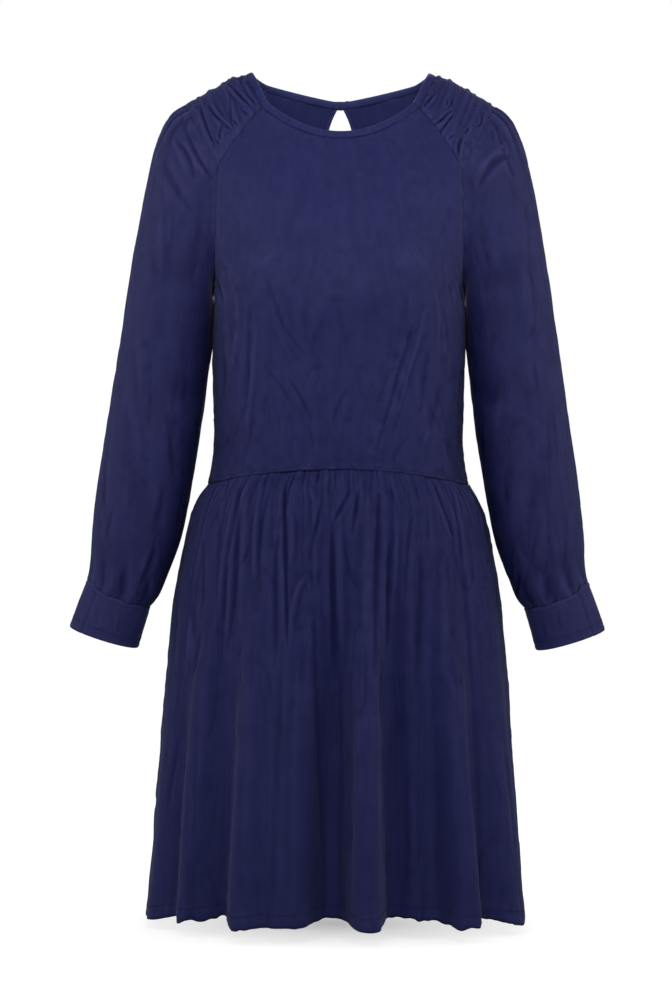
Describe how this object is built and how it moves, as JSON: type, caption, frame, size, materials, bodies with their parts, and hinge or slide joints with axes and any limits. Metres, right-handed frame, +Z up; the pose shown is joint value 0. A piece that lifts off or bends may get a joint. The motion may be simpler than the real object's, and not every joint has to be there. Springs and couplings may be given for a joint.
{
  "type": "a-line dress",
  "caption": "Long-sleeved jersey dress with gathered shoulder yokes, round neck with back keyhole, and a gathered skirt.",
  "frame": {"origin": "midway between the two high shoulder points of the neck, at their height, where the wearer's shoulders hold the dress", "axes": "+Z up along the wearer, -Y to the wearer's front, +X to the wearer's left"},
  "size_m": [0.585, 0.3467, 0.9281],
  "materials": {
    "jersey": "soft matt viscose jersey",
    "binding": "folded jersey edge",
    "button": "smooth dyed resin"
  },
  "bodies": {
    "root": {"front_bodice": "jersey", "back_bodice": "jersey", "shoulder_yoke_left": "jersey", "shoulder_yoke_right": "jersey", "sleeve_left": "jersey", "sleeve_right": "jersey", "cuff_left": "jersey", "cuff_right": "jersey", "neck_binding": "binding", "keyhole_binding": "binding", "front_skirt": "jersey", "back_skirt": "jersey", "button": "button", "button_loop": "binding"}
  },
  "joints": []
}
